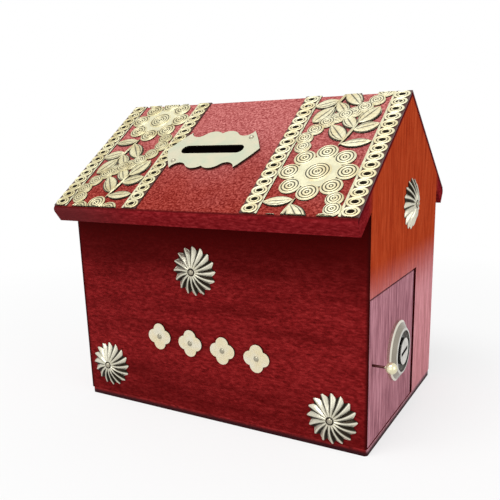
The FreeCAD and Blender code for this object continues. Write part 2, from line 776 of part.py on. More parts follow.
def plate_outline():
    """Scalloped outline of the coin-slot plate, one quarter mirrored to four, each stretch an arc."""
    long_half = size("plate_length") / 2
    high_half = size("plate_height") / 2
    stations = [(1.0, 0.0), (0.88, 0.42), (0.69, 0.97), (0.49, 0.71), (0.36, 0.85), (0.2, 1.0), (0.0, 0.88)]
    quarter = [(long_half * across, high_half * up) for across, up in stations]
    edges = []
    for mirror_x, mirror_y in ((1, 1), (-1, 1), (-1, -1), (1, -1)):
        points = [flat(mirror_x * across, mirror_y * up) for across, up in quarter]
        for index in (0, 2, 4):
            edges.append(Part.Arc(points[index], points[index + 1], points[index + 2]).toShape())
    return Part.Face(Part.Wire(Part.sortEdges(edges)[0]))


def make_slot_plate():
    sheet_up = FreeCAD.Vector(0, 0, size("plate_sheet"))
    plate = plate_outline().cut(slot_opening()).extrude(sheet_up)
    for across, up in plate_nail_spots():
        hole = nail_hole(size("plate_sheet"))
        hole.translate(flat(across, up))
        plate = plate.cut(hole)
    place = moved(slope_place(size("band_sheet")), size("plate_across"), size("plate_up"))
    keep_shape("slot_plate", plate, place)
    places = [lifted(moved(place, across, up), size("plate_sheet")) for across, up in plate_nail_spots()]
    nail_group("slot_plate_nails", trim_nail(), places)


def star(radius, height):
    """Star polygon with one point for each petal."""
    points = []
    for index in range(2 * PETALS):
        reach = radius if index % 2 == 0 else radius * PETAL_VALLEY
        angle = math.pi * index / PETALS
        points.append(FreeCAD.Vector(reach * math.cos(angle), reach * math.sin(angle), height))
    return Part.makePolygon(points + points[:1])


def rosette():
    """A stamped dome of pleated petals, hollow behind, with a hole for its nail."""
    height = size("rosette_height")
    dome = Part.makeLoft([star(size("rosette_radius"), 0), star(size("rosette_crown"), height)], True, True)
    hollow = dome.copy()
    hollow.translate(FreeCAD.Vector(0, 0, -size("rosette_sheet")))
    return dome.cut(hollow).cut(nail_hole(height))


def make_rosettes():
    left = -size("box_length") / 2 + size("rosette_left_inset")
    right = size("box_length") / 2 - size("rosette_right_inset")
    places = {
        "front_rosette_top": front_place(size("rosette_top_across"), size("rosette_top_up")),
        "front_rosette_left": front_place(left, size("rosette_left_up")),
        "front_rosette_right": front_place(right, size("rosette_right_up")),
        "gable_rosette": gable_place(size("gable_rosette_across"), size("gable_rosette_up")),
    }
    for label, place in places.items():
        keep_shape(label, rosette(), place)
    nail = make_nail(size("nail_head_diameter"), size("nail_head_height"), size("nail_shank_diameter"),
                     size("nail_length") + size("rosette_height"))
    nail_group("rosette_nails", nail, [lifted(place, size("rosette_height")) for place in places.values()])


def quatrefoil():
    """Four round lobes about a pin hole."""
    lobe = size("motif_lobe_radius")
    offset = size("motif_lobe_offset")
    lobes = [disc(across, up, lobe) for across, up in ((offset, 0), (0, offset), (-offset, 0), (0, -offset))]
    outline = lobes[0].multiFuse(lobes[1:]).removeSplitter()
    return outline.extrude(FreeCAD.Vector(0, 0, size("motif_sheet"))).cut(nail_hole(size("motif_sheet")))


def make_motifs():
    places = []
    for index in range(MOTIFS):
        across = size("motif_first") + index * size("motif_pitch")
        place = front_place(across, size("motif_up") - index * size("motif_fall"))
        keep_shape("front_motif_%d" % (index + 1), quatrefoil(), place)
        places.append(lifted(place, size("motif_sheet")))
    nail_group("motif_nails", trim_nail(), places)


def make_base_nails():
    """Flat-headed nails up through the base into the walls, heads flush with the underside."""
    head = Part.makeCylinder(size("base_nail_head") / 2, size("base_nail_head_height"))
    shank = Part.makeCylinder(size("base_nail_diameter") / 2, size("base_nail_length"))
    wall = size("box_depth") / 2 - size("wall_board") / 2
    spread = size("box_length") / 2 - size("base_nail_inset")
    places = []
    for across in (-wall, wall):
        for along in (-spread, 0, spread):
            places.append(FreeCAD.Placement(FreeCAD.Vector(along, across, 0), FreeCAD.Rotation()))
    nail_group("base_nails", head.fuse(shank).removeSplitter(), places)


make_base()
make_wall("front_wall", "-")
make_wall("back_wall", "")
make_gables()
make_roof()
make_keeper()
make_door()
make_pivots()
make_knob()
make_lock_body()
make_lock_nut()
make_lock_rotor()
make_band("roof_band_left", -1, size("band_left_flower"))
make_band("roof_band_right", 1, size("band_right_flower"))
make_band_pins()
make_slot_plate()
make_rosettes()
make_motifs()
make_base_nails()
doc.recompute()

for item in doc.Objects:
    if "Invalid" in item.State or "Error" in item.State:
        raise RuntimeError("%s failed: %s" % (item.Label, item.State))
for item in nodes:
    if item.Shape.isNull() or not item.Shape.isValid():
        raise RuntimeError("%s has no valid shape" % item.Label)

os.makedirs("parts", exist_ok=True)
for item in nodes:
    item.Shape.exportStep("parts/%s.step" % item.Label)
print("%d nodes written" % len(nodes))
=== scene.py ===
import math
import bmesh
import bpy
from mathutils import Matrix, Vector


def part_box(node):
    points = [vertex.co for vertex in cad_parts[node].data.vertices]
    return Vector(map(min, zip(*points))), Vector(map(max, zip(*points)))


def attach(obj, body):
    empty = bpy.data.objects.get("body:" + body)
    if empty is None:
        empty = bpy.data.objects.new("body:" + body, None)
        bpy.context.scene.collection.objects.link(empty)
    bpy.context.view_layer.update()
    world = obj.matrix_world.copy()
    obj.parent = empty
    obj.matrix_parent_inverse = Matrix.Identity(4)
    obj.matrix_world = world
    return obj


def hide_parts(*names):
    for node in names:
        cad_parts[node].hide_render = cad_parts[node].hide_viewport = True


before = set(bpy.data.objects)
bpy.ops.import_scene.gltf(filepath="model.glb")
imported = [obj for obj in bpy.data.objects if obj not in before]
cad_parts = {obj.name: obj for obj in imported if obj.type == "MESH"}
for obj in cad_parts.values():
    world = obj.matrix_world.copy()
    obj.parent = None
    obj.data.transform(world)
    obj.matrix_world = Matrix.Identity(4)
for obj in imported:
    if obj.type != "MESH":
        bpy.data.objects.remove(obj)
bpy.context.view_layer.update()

# Sizes in millimetres, as the part has them
MM = 0.001
BOX_LENGTH = 150.0
BOX_DEPTH = 100.0
GABLE_FACE = BOX_LENGTH / 2
FRONT_FACE = -BOX_DEPTH / 2
RIDGE_HEIGHT = 145.0
EAVE_REACH = 65.2
PITCH = math.radians(35.7)
SLOPE = EAVE_REACH / math.cos(PITCH)
BAND_WIDTH = 49.0
BAND_MIDDLE = (BOX_LENGTH - BAND_WIDTH) / 2
BAND_BORDER = 7.8
BAND_SHEET = 0.5
BAND_MARGIN = 2.0
BAND_REPEAT = 75.0
LEFT_FLOWER = 67.1
RIGHT_FLOWER = 27.0
LINK_PITCH = 5.1
EYE_INSET = 3.7
LOCK_CENTER = (-12.8, 34.2)
PLUG_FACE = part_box("lock_plug")[1][0] / MM
STEM_END = 80.4
PLATE_ACROSS = -6.0
PLATE_UP = 41.5
SLOT_Y = -EAVE_REACH + PLATE_UP * math.cos(PITCH)
SLOT_HALF_LENGTH = 17.8
SLOT_HALF_WIDTH = 2.95


# Material helpers

NOISE_ROUGHNESS = 0.6
SEED_SPREAD = (1.0, 0.7, 1.3)
GRAIN_DETAIL = 5.0
GRAIN_BEND = 0.4
PORE_FINENESS = 3.2
PORE_DETAIL = 2.0
PORE_SPAN = (0.56, 0.72)
PORE_DARK = (0.030, 0.002, 0.004)

# Width in millimetres over which one colour gives way to another
FEATHER = 0.2

# Sockets of a Mix node that mixes colours
MIX_FACTOR = 0
MIX_FIRST = 6
MIX_SECOND = 7
MIX_RESULT = 2


class Look:
    """A procedural material in the making, on object coordinates in metres."""

    def __init__(self, name):
        self.mat = bpy.data.materials.new(name)
        self.mat.use_nodes = True
        self.tree = self.mat.node_tree
        self.link = self.tree.links.new
        self.shader = self.tree.nodes["Principled BSDF"]
        self.coords = self.add("ShaderNodeTexCoord").outputs

    def add(self, kind, **values):
        """A node with its properties and inputs set by name."""
        node = self.tree.nodes.new(kind)
        for key, item in values.items():
            if hasattr(node, key):
                setattr(node, key, item)
            else:
                node.inputs[key].default_value = item
        return node

    def calc(self, operation, *items):
        """Arithmetic on sockets and plain numbers."""
        node = self.add("ShaderNodeMath", operation=operation)
        for socket, item in zip(node.inputs, items):
            if isinstance(item, float):
                socket.default_value = item
            else:
                self.link(item, socket)
        return node.outputs[0]

    def axis(self, source, letter):
        """One component of the place ("Object") or of the surface's direction ("Normal")."""
        node = self.add("ShaderNodeSeparateXYZ")
        self.link(self.coords[source], node.inputs[0])
        return node.outputs[letter]

    def place(self, letter):
        return self.axis("Object", letter)

    def facing(self, letter):
        """One where the surface faces along an axis, either way."""
        return self.calc("ABSOLUTE", self.axis("Normal", letter))

    def span(self, source, start, end, most=1.0):
        """Rise smoothly from nought, at one value of a source, to the most at another."""
        node = self.add("ShaderNodeMapRange", interpolation_type="SMOOTHSTEP")
        node.inputs["From Min"].default_value = start
        node.inputs["From Max"].default_value = end
        node.inputs["To Max"].default_value = most
        self.link(source, node.inputs["Value"])
        return node.outputs["Result"]

    def reach(self, source, start, end, most=1.0):
        """A span between two places in millimetres."""
        return self.span(source, start * MM, end * MM, most=most)

    def within(self, letter, middle, half):
        """One where a coordinate is nearer to a middle than half a width, in millimetres."""
        offset = self.calc("SUBTRACT", self.place(letter), middle * MM)
        return self.calc("LESS_THAN", self.calc("ABSOLUTE", offset), half * MM)

    def noise(self, scale, detail, seed, distortion=0.0):
        """Noise with its own scale along each axis, moved by a seed."""
        shift = tuple(seed * part for part in SEED_SPREAD)
        mapping = self.add("ShaderNodeMapping", Scale=scale, Location=shift)
        node = self.add("ShaderNodeTexNoise", Scale=1.0, Detail=detail, Roughness=NOISE_ROUGHNESS,
                        Distortion=distortion)
        self.link(self.coords["Object"], mapping.inputs["Vector"])
        self.link(mapping.outputs["Vector"], node.inputs["Vector"])
        return node.outputs["Fac"]

    def even_noise(self, scale, detail, seed):
        return self.noise((scale, scale, scale), detail, seed)

    def ramp(self, factor, stops):
        """The stops' colours along a factor."""
        node = self.add("ShaderNodeValToRGB")
        elements = node.color_ramp.elements
        while len(elements) < len(stops):
            elements.new(0.5)
        for element, (position, color) in zip(elements, stops):
            element.position = position
            element.color = (*color, 1.0)
        self.link(factor, node.inputs["Fac"])
        return node.outputs["Color"]

    def mix(self, factor, first, second):
        """From a first colour to a second, each a socket or three numbers."""
        node = self.add("ShaderNodeMix", data_type="RGBA")
        self.link(factor, node.inputs[MIX_FACTOR])
        for socket, item in ((node.inputs[MIX_FIRST], first), (node.inputs[MIX_SECOND], second)):
            if isinstance(item, tuple):
                socket.default_value = (*item, 1.0)
            else:
                self.link(item, socket)
        return node.outputs[MIX_RESULT]

    def grain(self, scale, seed):
        """Long streaks of grain."""
        return self.noise(scale, GRAIN_DETAIL, seed, GRAIN_BEND)

    def grain_color(self, scale, stops, seed):
        return self.ramp(self.grain(scale, seed), stops)

    def pores(self, scale, seed):
        """Short fine pores along the grain."""
        return self.noise(tuple(PORE_FINENESS * part for part in scale), PORE_DETAIL, seed)

    def pored(self, fine, color, amount):
        """A colour with dark pores."""
        return self.mix(self.span(fine, *PORE_SPAN, most=amount), color, PORE_DARK)

    def surface(self, color, roughness, metallic=0.0, specular=0.5):
        self.link(color, self.shader.inputs["Base Color"])
        self.shader.inputs["Roughness"].default_value = roughness
        self.shader.inputs["Metallic"].default_value = metallic
        self.shader.inputs["Specular IOR Level"].default_value = specular

    def bump(self, height, distance, strength):
        """Bumps of a distance in millimetres."""
        node = self.add("ShaderNodeBump", Strength=strength, Distance=distance * MM)
        self.link(height, node.inputs["Height"])
        self.link(node.outputs["Normal"], self.shader.inputs["Normal"])


# Woods

CRIMSON = [(0.28, (0.090, 0.003, 0.003)), (0.5, (0.205, 0.009, 0.010)), (0.72, (0.340, 0.024, 0.024))]
# Roof red paled by a painted sheen; the next is the roof's deeper red below it
ROOF_SHEEN_RED = [(0.38, (0.280, 0.050, 0.050)), (0.5, (0.465, 0.122, 0.116)), (0.62, (0.670, 0.240, 0.225))]
ROOF_LOW_RED = [(0.38, (0.155, 0.010, 0.008)), (0.5, (0.280, 0.032, 0.023)), (0.62, (0.440, 0.078, 0.060))]
EAVE_RED = [(0.30, (0.120, 0.004, 0.006)), (0.5, (0.205, 0.010, 0.013)), (0.70, (0.315, 0.026, 0.030))]
# Painted shade on the gables' and door's edges that face front and back, as in the door's gaps
GAP_SHADE_RED = [(0.30, (0.026, 0.002, 0.002)), (0.70, (0.080, 0.006, 0.007))]
ORANGE_RED = [(0.32, (0.34, 0.032, 0.010)), (0.5, (0.44, 0.052, 0.015)), (0.68, (0.54, 0.080, 0.026))]
# Rose of a painted sheen, on the door and the base's ends
DUSTY_ROSE_SHEEN = [(0.35, (0.28, 0.110, 0.140)), (0.5, (0.43, 0.185, 0.225)), (0.65, (0.59, 0.280, 0.330))]
# Paler rose of a painted sheen, on the lower gable
PALE_ROSE_SHEEN = [(0.35, (0.54, 0.210, 0.230)), (0.5, (0.68, 0.285, 0.315)), (0.65, (0.80, 0.370, 0.400))]
BARE_WOOD = [(0.3, (0.22, 0.10, 0.05)), (0.7, (0.42, 0.24, 0.13))]
# Dark red of the wood's dark figure, and of the painted shade on the front: the eave's shadow and the foot
SHADE_AND_FIGURE_RED = (0.062, 0.001, 0.001)
# Painted shade at the box's corners
CORNER_SHADE_RED = (0.040, 0.002, 0.002)
# Painted sheen on the eave toward its left end
EAVE_SHEEN_MAUVE = (0.118, 0.020, 0.022)
# Painted shade along the slopes' lower edge
BRINK_SHADE_RED = (0.080, 0.005, 0.006)
# Painted shade along the top edge of the roof's ends
ROOF_END_EDGE_SHADE = (0.10, 0.006, 0.010)
# Painted shade at the base's foot
BASE_FOOT_SHADE = (0.030, 0.004, 0.006)
# Painted shade, near-black, on the unpainted walls inside the coin slot
SLOT_SHADE = (0.004, 0.002, 0.002)

# Noise scales in waves per metre along each axis, and seeds shared by boards that match
ALONG_X = (380.0, 1100.0, 1100.0)
UPRIGHT = (700.0, 700.0, 60.0)
FIGURE = (16.0, 28.0, 105.0)
ROOF_GRAIN = (1000.0, 1250.0, 1250.0)
ROOF_CLOUD = (24.0, 24.0, 24.0)
CRIMSON_SEED = 1.0
PORE_SEED_STEP = 5.0
FIGURE_SEED_STEP = 11.0
ORANGE_SEED = 2.0
ROSE_SEED = 4.0

# How much of the noise shows as dark figure
FIGURE_SPAN = (0.44, 0.66)

# Heights and places where colours change, in millimetres
# Painted shadow of the eave, darkening the front toward the top of this span
FRONT_EAVE_SHADOW = (55.0, 92.0)
# Painted shade toward the front's foot
FRONT_FOOT_SHADE = (30.0, 6.0)
# Painted shade at the front's corners
CORNER_SHADE_SPAN = (GABLE_FACE - 2.0, GABLE_FACE - FEATHER)
# Painted sheen on the slopes above this height
ROOF_SHEEN_ABOVE = 140.0
ROOF_DEEP_BELOW = 98.0
ROOF_DRIFT = 50.0
# Painted sheen on the eave toward its left end
EAVE_SHEEN_SPAN = (-20.0, -70.0)
# Painted shade along the slopes' lower edge
BRINK_SHADE_SPAN = (EAVE_REACH - 2.0, EAVE_REACH - 1.1)
# Painted shade along the top edge of the roof's ends
END_EDGE_SHADE_SPAN = (RIDGE_HEIGHT - 2.6, RIDGE_HEIGHT - 1.0)
PAST_WALL = (46.0, 54.0)
# Painted shade toward the base's foot
BASE_FOOT_SHADE_SPAN = (1.0, 3.0)

# Tilts of a surface at which it counts as an end, an edge or an underside
END_TILT = (0.5, 0.9)
EDGE_TILT = (0.55, 0.85)
UNDER_TILT = (0.7, 0.2)


def wood(name, stops, seed, roughness, pore_amount, shadow_span=None):
    """Stained wood with its grain along the box. With a span of heights it has a dark figure, and painted
    shade darkens it toward the top of the span, where the eave's shadow falls, at its foot and at the box's
    corners."""
    look = Look(name)
    fine = look.pores(ALONG_X, seed + PORE_SEED_STEP)
    color = look.pored(fine, look.grain_color(ALONG_X, stops, seed), pore_amount)
    if shadow_span:
        figure = look.noise(FIGURE, detail=4.0, seed=seed + FIGURE_SEED_STEP, distortion=0.5)
        height = look.place("Z")
        color = look.mix(look.span(figure, *FIGURE_SPAN, most=0.45), color, SHADE_AND_FIGURE_RED)
        # Painted shadow of the eave toward the top of the span
        color = look.mix(look.reach(height, *shadow_span), color, SHADE_AND_FIGURE_RED)
        # Painted shade toward the foot
        color = look.mix(look.reach(height, *FRONT_FOOT_SHADE, most=0.35), color, SHADE_AND_FIGURE_RED)
        # Painted shade at the box's corners
        far = look.calc("ABSOLUTE", look.place("X"))
        color = look.mix(look.reach(far, *CORNER_SHADE_SPAN), color, CORNER_SHADE_RED)
    look.surface(color, roughness, specular=0.015)
    look.bump(fine, distance=0.2, strength=0.35)
    return look.mat


def roof_wood_material(name):
    """Speckled red on the slopes, paled toward the ridge by a painted sheen, with painted shade along their
    lower edge, crimson at the eave with a painted mauve sheen toward its left end, orange on the ends with
    painted shade along their top edge, and near-black painted shade on the unpainted walls inside the coin
    slot."""
    look = Look(name)
    height = look.place("Z")
    speckle = look.grain(ROOF_GRAIN, seed=3.0)
    cloud = look.noise(ROOF_CLOUD, detail=2.0, seed=13.0)
    # Painted sheen on the slopes' upper part, its lower edge moved by the cloud
    level = look.calc("MULTIPLY_ADD", cloud, ROOF_DRIFT * MM, height)
    below_sheen = look.reach(level, ROOF_SHEEN_ABOVE + ROOF_DRIFT / 2, ROOF_DEEP_BELOW + ROOF_DRIFT / 2)
    color = look.mix(below_sheen, look.ramp(speckle, ROOF_SHEEN_RED), look.ramp(speckle, ROOF_LOW_RED))
    from_ridge = look.calc("ABSOLUTE", look.place("Y"))
    # Painted shade along the slopes' lower edge
    color = look.mix(look.reach(from_ridge, *BRINK_SHADE_SPAN), color, BRINK_SHADE_RED)
    eave = look.grain_color(ALONG_X, EAVE_RED, seed=6.0)
    # Painted sheen on the eave toward its left end
    eave = look.mix(look.reach(look.place("X"), *EAVE_SHEEN_SPAN, most=0.85), eave, EAVE_SHEEN_MAUVE)
    color = look.mix(look.span(look.axis("Normal", "Z"), *UNDER_TILT), color, eave)
    orange = look.grain_color(UPRIGHT, ORANGE_RED, ORANGE_SEED)
    end = look.mix(look.reach(from_ridge, *PAST_WALL), orange, eave)
    level_at_ridge = look.calc("MULTIPLY_ADD", from_ridge, math.tan(PITCH), height)
    # Painted shade along the top edge of the ends
    end = look.mix(look.reach(level_at_ridge, *END_EDGE_SHADE_SPAN), end, ROOF_END_EDGE_SHADE)
    color = look.mix(look.span(look.facing("X"), *END_TILT), color, end)
    # Painted shade inside the coin slot
    along_slot = look.within("X", PLATE_ACROSS, SLOT_HALF_LENGTH)
    across_slot = look.within("Y", SLOT_Y, SLOT_HALF_WIDTH)
    color = look.mix(look.calc("MULTIPLY", along_slot, across_slot), color, SLOT_SHADE)
    look.surface(color, roughness=0.5, specular=0.0)
    look.bump(speckle, distance=0.3, strength=0.3)
    return look.mat


def base_material(name):
    """The base follows the walls above it, crimson in front and rose of painted sheen at the ends, and
    painted shade darkens it to its foot.
    """
    look = Look(name)
    streaks = look.grain(ALONG_X, CRIMSON_SEED)
    rose = look.grain_color(UPRIGHT, DUSTY_ROSE_SHEEN, ROSE_SEED)
    color = look.mix(look.span(look.facing("X"), *END_TILT), look.ramp(streaks, CRIMSON), rose)
    # Painted shade toward the foot
    color = look.mix(look.reach(look.place("Z"), *BASE_FOOT_SHADE_SPAN), BASE_FOOT_SHADE, color)
    look.surface(color, roughness=0.55, specular=0.06)
    look.bump(streaks, distance=0.2, strength=0.3)
    return look.mat


def gable_wood(name, sheen_below, sheen_above, sheen_stops):
    """Upright grain, orange-red above and a rose of painted sheen below, with painted shade on the edges that
    face front and back.
    """
    look = Look(name)
    orange = look.grain_color(UPRIGHT, ORANGE_RED, ORANGE_SEED)
    rose = look.grain_color(UPRIGHT, sheen_stops, ROSE_SEED)
    # Painted sheen: rose below, orange above
    color = look.mix(look.reach(look.place("Z"), sheen_below, sheen_above), rose, orange)
    fine = look.pores(UPRIGHT, seed=9.0)
    color = look.pored(fine, color, amount=0.35)
    # Painted shade on the edges that face front and back
    gap_shade = look.grain_color(ALONG_X, GAP_SHADE_RED, CRIMSON_SEED)
    color = look.mix(look.span(look.facing("Y"), *EDGE_TILT), color, gap_shade)
    look.surface(color, roughness=0.6, specular=0.0)
    look.bump(fine, distance=0.2, strength=0.3)
    return look.mat


# Metals

PALE_BRASS = (0.78, 0.74, 0.51)
WARM_BRASS = (0.70, 0.60, 0.34)
OLIVE = (0.72, 0.67, 0.42)
DEEP_OLIVE = (0.54, 0.46, 0.23)
SHEET = (0.72, 0.69, 0.47)
PLATE = (0.62, 0.58, 0.42)
GREENISH = (0.52, 0.56, 0.41)
SILVERY = (0.72, 0.69, 0.55)
# Painted shade of the rosettes' petals, and their dark button
PETAL_SHADE_AND_BUTTON = (0.020, 0.015, 0.010)
CREAM = (0.76, 0.66, 0.42)
PALE_CREAM = (0.76, 0.72, 0.58)
KNOB = (0.86, 0.80, 0.54)
STEM_DARK = (0.060, 0.008, 0.006)
NAIL = (0.38, 0.35, 0.26)
# Painted shade: the dark red of shaded roof, between the border's scallops
BORDER_SHADE_RED = (0.070, 0.022, 0.016)
GROOVE = (0.014, 0.010, 0.006)
NICKEL = (0.62, 0.60, 0.55)
NICKEL_WORN = (0.44, 0.42, 0.37)
# Painted darker reflection on the lock's flange, and a painted highlight on its rim
NICKEL_DARK_REFLECTION = (0.30, 0.27, 0.22)
NICKEL_RIM_HIGHLIGHT = (0.70, 0.66, 0.56)
RECESS_BLACK = (0.006, 0.006, 0.006)
STAIN_SHADE = 0.82
STAIN_SPAN = (0.35, 0.7)
GROOVE_SPAN = (0.20, 0.90)
SHINE_SPAN = (0.05, 0.55)
SHINE = 0.5
SIDE_TILT = (0.62, 0.78)
BORDER_STRIP = 0.9
RECESS_RADIUS = 9.35
# Radii at which the painted reflection and the rim's painted highlight begin
DARK_REFLECTION_FROM = 10.2
RIM_HIGHLIGHT_FROM = 12.6
RING_FEATHER = 0.3
PLUG_FEATHER = 0.15
WEAR_SPAN = (0.4, 0.7)
PLUG_RIM = 0.6


def border_shade(look):
    """One on the borders of both ribbons, where the ground behind the links is painted shade, the dark red of
    the roof in shade between the scallops, apart from a strip along the inner edge."""
    far = look.calc("ABSOLUTE", look.place("X"))
    offset = look.calc("ABSOLUTE", look.calc("SUBTRACT", far, BAND_MIDDLE * MM))
    start = BAND_WIDTH / 2 - BAND_BORDER + BORDER_STRIP
    return look.reach(offset, start, start + FEATHER)


def brass(name, pale, roughness, metallic=0.35, tint=None, dark=GROOVE, relief=False, shaded_sides=None,
          shaded_border=False, dark_below=None):
    """Pale stamped brass, stained with a tint. It can be dark in the grooves of a relief attribute, in
    painted shade on sides that face away from an axis and on the ribbons' borders, or dark below a place
    along X."""
    look = Look(name)
    stain = look.even_noise(scale=120.0, detail=4.0, seed=3.0)
    other = tint if tint else tuple(STAIN_SHADE * part for part in pale)
    color = look.mix(look.span(stain, *STAIN_SPAN), pale, other)
    if relief:
        depth = look.add("ShaderNodeAttribute", attribute_name="relief").outputs["Fac"]
        color = look.mix(look.span(depth, *GROOVE_SPAN), dark, color)
        look.link(look.span(depth, *SHINE_SPAN, most=SHINE), look.shader.inputs["Specular IOR Level"])
    if shaded_sides:
        # Painted shade on the sides that face away from the axis
        color = look.mix(look.span(look.facing(shaded_sides), *SIDE_TILT), dark, color)
    if shaded_border:
        # Painted shade on the ribbons' borders
        color = look.mix(border_shade(look), color, BORDER_SHADE_RED)
    if dark_below:
        color = look.mix(look.reach(look.place("X"), dark_below - FEATHER, dark_below), dark, color)
    look.surface(color, roughness, metallic)
    fine = look.even_noise(scale=900.0, detail=3.0, seed=7.0)
    look.bump(fine, distance=0.1, strength=0.15)
    return look.mat


def lock_rings(look, color):
    """In front of the door, black inside a ring about the lock's axis, then bright, a painted darker
    reflection and a rim with a painted highlight.
    """
    flat = look.add("ShaderNodeVectorMath", operation="MULTIPLY")
    flat.inputs[1].default_value = (0.0, 1.0, 1.0)
    look.link(look.coords["Object"], flat.inputs[0])
    distance = look.add("ShaderNodeVectorMath", operation="DISTANCE")
    distance.inputs[1].default_value = (0.0, LOCK_CENTER[0] * MM, LOCK_CENTER[1] * MM)
    look.link(flat.outputs[0], distance.inputs[0])
    radius = distance.outputs["Value"]
    outside = look.reach(radius, RECESS_RADIUS - FEATHER, RECESS_RADIUS)
    behind = look.reach(look.place("X"), GABLE_FACE, GABLE_FACE - FEATHER)
    color = look.mix(look.calc("MAXIMUM", outside, behind), RECESS_BLACK, color)
    # Painted darker reflection, then the rim's painted highlight
    color = look.mix(look.reach(radius, DARK_REFLECTION_FROM, DARK_REFLECTION_FROM + RING_FEATHER), color, NICKEL_DARK_REFLECTION)
    return look.mix(look.reach(radius, RIM_HIGHLIGHT_FROM, RIM_HIGHLIGHT_FROM + RING_FEATHER), color, NICKEL_RIM_HIGHLIGHT)


def nickel(name, ringed=False, dark_below=None):
    """Bright worn plating, with the lock's rings or black below a place along X."""
    look = Look(name)
    wear = look.even_noise(scale=300.0, detail=4.0, seed=5.0)
    color = look.mix(look.span(wear, *WEAR_SPAN), NICKEL, NICKEL_WORN)
    if ringed:
        color = lock_rings(look, color)
    if dark_below:
        shown = look.reach(look.place("X"), dark_below, dark_below + PLUG_FEATHER)
        color = look.mix(shown, RECESS_BLACK, color)
    look.surface(color, roughness=0.22, metallic=0.9)
    look.bump(wear, distance=0.1, strength=0.1)
    return look.mat


# Finish of every node

front_wood = wood("front_crimson", CRIMSON, CRIMSON_SEED, roughness=0.5, pore_amount=0.45,
                  shadow_span=FRONT_EAVE_SHADOW)
bare_wood = wood("inner_wood", BARE_WOOD, seed=8.0, roughness=0.7, pore_amount=0.2)
roof_wood = roof_wood_material("roof_red")
base_wood = base_material("base_red")
# The rose on the right gable and the door is a painted sheen; the left gable's starts below the box and never
# shows
gable_red = gable_wood("gable_orange", sheen_below=50.0, sheen_above=80.0, sheen_stops=PALE_ROSE_SHEEN)
left_red = gable_wood("left_orange", sheen_below=-40.0, sheen_above=-20.0, sheen_stops=PALE_ROSE_SHEEN)
door_rose_sheen = gable_wood("door_rose_sheen", sheen_below=62.0, sheen_above=110.0, sheen_stops=DUSTY_ROSE_SHEEN)
band_brass = brass("band_brass", PALE_BRASS, roughness=0.4, tint=WARM_BRASS, relief=True)
olive_brass = brass("olive_brass", OLIVE, roughness=0.4, tint=DEEP_OLIVE, relief=True)
sheet_brass = brass("sheet_brass", SHEET, roughness=0.45, shaded_sides="Z", shaded_border=True)
plate_brass = brass("plate_brass", PLATE, roughness=0.4, tint=GREENISH, shaded_sides="Z")
rosette_brass = brass("rosette_brass", SILVERY, roughness=0.3, metallic=0.7, dark=PETAL_SHADE_AND_BUTTON, relief=True)
motif_brass = brass("motif_brass", CREAM, roughness=0.38, tint=PALE_CREAM, shaded_sides="Y")
knob_brass = brass("knob_brass", KNOB, roughness=0.25, metallic=0.6, dark=STEM_DARK, dark_below=STEM_END)
nail_metal = brass("nail_metal", NAIL, roughness=0.35, metallic=0.7)
lock_metal = nickel("lock_metal", ringed=True)
plug_metal = nickel("plug_metal", dark_below=PLUG_FACE - PLUG_RIM)
plain_metal = nickel("plain_metal")

FINISHES = {
    "front_wall": front_wood, "back_wall": front_wood, "base_board": base_wood, "keeper_block": bare_wood,
    "left_gable": left_red, "right_gable": gable_red, "door_panel": door_rose_sheen,
    "front_roof_board": roof_wood, "back_roof_board": roof_wood,
    "roof_band_left": sheet_brass, "roof_band_right": sheet_brass, "slot_plate": plate_brass,
    "door_knob": knob_brass, "door_pivot_top": nail_metal, "door_pivot_bottom": nail_metal,
    "band_pins": nail_metal, "slot_plate_nails": nail_metal, "rosette_nails": nail_metal,
    "motif_nails": nail_metal, "base_nails": plain_metal, "lock_body": lock_metal, "lock_nut": plain_metal,
    "lock_plug": plug_metal, "lock_cam": plain_metal, "cam_screw": plain_metal,
    "front_rosette_top": rosette_brass, "front_rosette_left": rosette_brass,
    "front_rosette_right": rosette_brass, "gable_rosette": rosette_brass,
    "front_motif_1": motif_brass, "front_motif_2": motif_brass,
    "front_motif_3": motif_brass, "front_motif_4": motif_brass,
}

# Width in millimetres of the bevel that breaks a node's hard edges
BEVELS = {
    "front_motif_1": 0.25, "front_motif_2": 0.25, "front_motif_3": 0.25, "front_motif_4": 0.25,
    "slot_plate": 0.25, "lock_body": 0.3, "lock_plug": 0.3,
}
BEVEL_SEGMENTS = 3
BEVEL_ANGLE = math.radians(40)


def give(node, mat):
    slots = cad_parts[node].material_slots
    if not slots:
        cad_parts[node].data.materials.append(mat)
        return
    for slot in slots:
        slot.link = "OBJECT"
        slot.material = mat


def soften(node, width):
    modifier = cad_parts[node].modifiers.new("edge", "BEVEL")
    modifier.width = width * MM
    modifier.segments = BEVEL_SEGMENTS
    modifier.limit_method = "ANGLE"
    modifier.angle_limit = BEVEL_ANGLE


for node_name, finish in FINISHES.items():
    give(node_name, finish)
for node_name, bevel in BEVELS.items():
    soften(node_name, bevel)


# Relief of the roof ribbons, drawn flat as (across, along, lift) and laid over the roof

WELD = 0.002


class Relief:
    """Points, faces and a relief value for each point, gathered into one mesh."""

    def __init__(self):
        self.points = []
        self.faces = []
        self.values = []

    def grid(self, rows, closed):
        """Rows of (across, along, lift, value); closed rows join end to start."""
        first = len(self.points)
        width = len(rows[0])
        for row in rows:
            for across, along, lift, value in row:
                self.points.append((across, along, lift))
                self.values.append(value)
        steps = width if closed else width - 1
        for row in range(len(rows) - 1):
            for step in range(steps):
                here = first + row * width
                after = (step + 1) % width
                self.faces.append((here + step, here + after, here + width + after, here + width + step))


